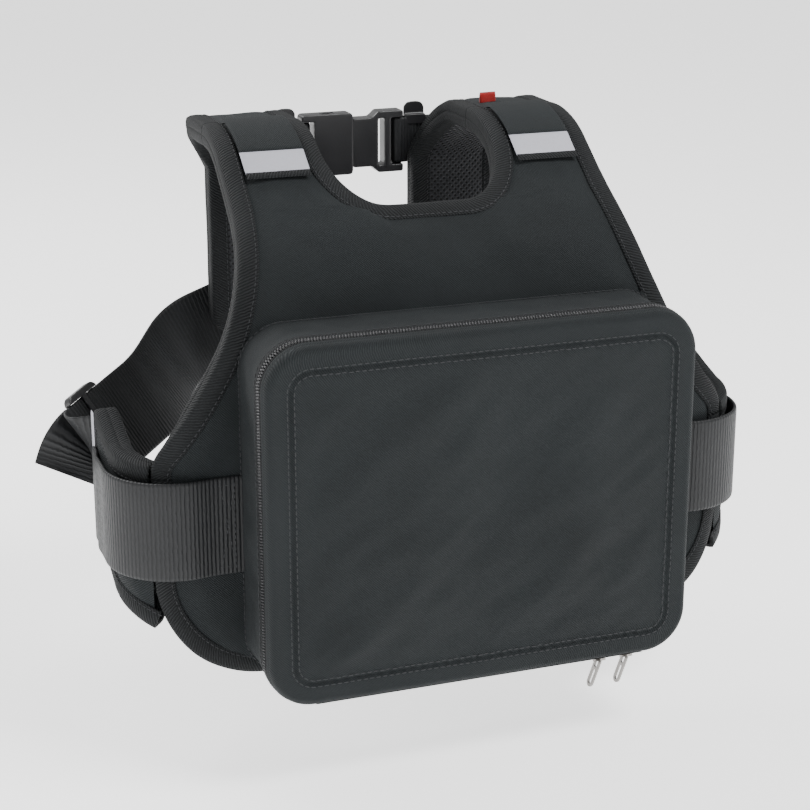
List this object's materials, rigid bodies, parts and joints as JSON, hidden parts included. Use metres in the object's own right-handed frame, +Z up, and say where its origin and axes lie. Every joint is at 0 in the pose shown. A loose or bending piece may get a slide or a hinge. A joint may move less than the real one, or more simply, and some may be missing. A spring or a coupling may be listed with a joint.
{
  "type": "safety harness vest",
  "caption": "Padded harness vest with a zipped back pouch, side wings with grab handles, two padded straps joined by a chest buckle, and side webbing through slides.",
  "frame": {"origin": "Midway between the undersides of the two straps at the crown of the shoulders, where the wearer carries the vest", "axes": "+Z up; -Y out of the pouch; +X to the right when looking at the pouch, across the two straps"},
  "size_m": [0.3872, 0.21, 0.2827],
  "materials": {
    "cordura": "twill-woven coated nylon",
    "foam": "closed-cell foam",
    "air_mesh": "open spacer mesh",
    "binding": "ribbed twill tape",
    "reflective": "glass-bead reflective tape",
    "red_label": "plain woven tab",
    "webbing": "ribbed nylon webbing",
    "plastic": "moulded acetal, fine grain",
    "zip_coil": "nylon coil",
    "nickel": "dull nickel plate"
  },
  "bodies": {
    "vest": {"panel_shell": "cordura", "side_wing_left": "cordura", "side_wing_right": "cordura", "pouch_gusset": "cordura", "pouch_back": "cordura", "flap_fold": "cordura", "shoulder_strap_left": "cordura", "shoulder_strap_right": "cordura", "panel_foam": "foam", "panel_lining": "air_mesh", "strap_lining_left": "air_mesh", "strap_lining_right": "air_mesh", "neck_binding": "binding", "armhole_binding_left": "binding", "armhole_binding_right": "binding", "hem_binding": "binding", "strap_binding_left": "binding", "strap_binding_right": "binding", "wing_binding_left": "binding", "wing_binding_right": "binding", "zip_tape": "binding", "shoulder_reflective_left": "reflective", "shoulder_reflective_right": "reflective", "wing_reflective_left": "reflective", "wing_reflective_right": "reflective", "shoulder_tab": "red_label", "grab_handle_left": "webbing", "grab_handle_right": "webbing", "chest_webbing_left": "webbing", "chest_webbing_right": "webbing", "side_webbing_left": "webbing", "side_webbing_right": "webbing", "wing_webbing_left": "webbing", "wing_webbing_right": "webbing", "webbing_tail_left": "webbing", "webbing_tail_right": "webbing", "buckle_female": "plastic", "buckle_male": "plastic", "chest_keeper_left": "plastic", "chest_keeper_right": "plastic", "zip_coil_pouch": "zip_coil"},
    "flap": {"pouch_flap": "cordura", "zip_coil_flap": "zip_coil"},
    "slider_left": {"zip_slider_left": "nickel"},
    "slider_right": {"zip_slider_right": "nickel"},
    "pull_left": {"zip_pull_left": "nickel"},
    "pull_right": {"zip_pull_right": "nickel"},
    "slide_left": {"side_slide_left": "plastic"},
    "slide_right": {"side_slide_right": "plastic"},
    "prong_upper": {"buckle_prong_upper": "plastic"},
    "prong_lower": {"buckle_prong_lower": "plastic"}
  },
  "joints": [
    {"name": "flap_hinge", "type": "hinge", "parent": "vest", "child": "flap", "pos_m": [0, -0.149, -0.247], "axis": [1, 0, 0], "range_deg": [0, 95]},
    {"name": "slider_left_run", "type": "slide", "parent": "vest", "child": "slider_left", "axis": [-1, 0, 0], "range_m": [0, 0.06]},
    {"name": "slider_right_run", "type": "slide", "parent": "vest", "child": "slider_right", "axis": [-1, 0, 0], "range_m": [0, 0.005]},
    {"name": "pull_left_swing", "type": "hinge", "parent": "slider_left", "child": "pull_left", "pos_m": [0.067, -0.1385, -0.2505], "axis": [0, 1, 0], "range_deg": [-30, 60]},
    {"name": "pull_right_swing", "type": "hinge", "parent": "slider_right", "child": "pull_right", "pos_m": [0.082, -0.1385, -0.2505], "axis": [0, 1, 0], "range_deg": [-70, 18]},
    {"name": "slide_left_run", "type": "slide", "parent": "vest", "child": "slide_left", "axis": [0.7374, 0.6278, 0.2491], "range_m": [0, 0.02]},
    {"name": "slide_right_run", "type": "slide", "parent": "vest", "child": "slide_right", "axis": [-0.7374, 0.6278, 0.2491], "range_m": [0, 0.02]},
    {"name": "prong_upper_squeeze", "type": "hinge", "parent": "vest", "child": "prong_upper", "pos_m": [0.003, 0.056, -0.0059], "axis": [0, -1, 0], "range_deg": [0, 8], "stiffness_Nm_per_rad": 0.05},
    {"name": "prong_lower_squeeze", "type": "hinge", "parent": "vest", "child": "prong_lower", "pos_m": [0.003, 0.056, -0.0231], "axis": [0, 1, 0], "range_deg": [0, 8], "stiffness_Nm_per_rad": 0.05}
  ],
  "couplings": [
    {"joint": "prong_lower_squeeze", "follows": "prong_upper_squeeze", "ratio": 1}
  ]
}
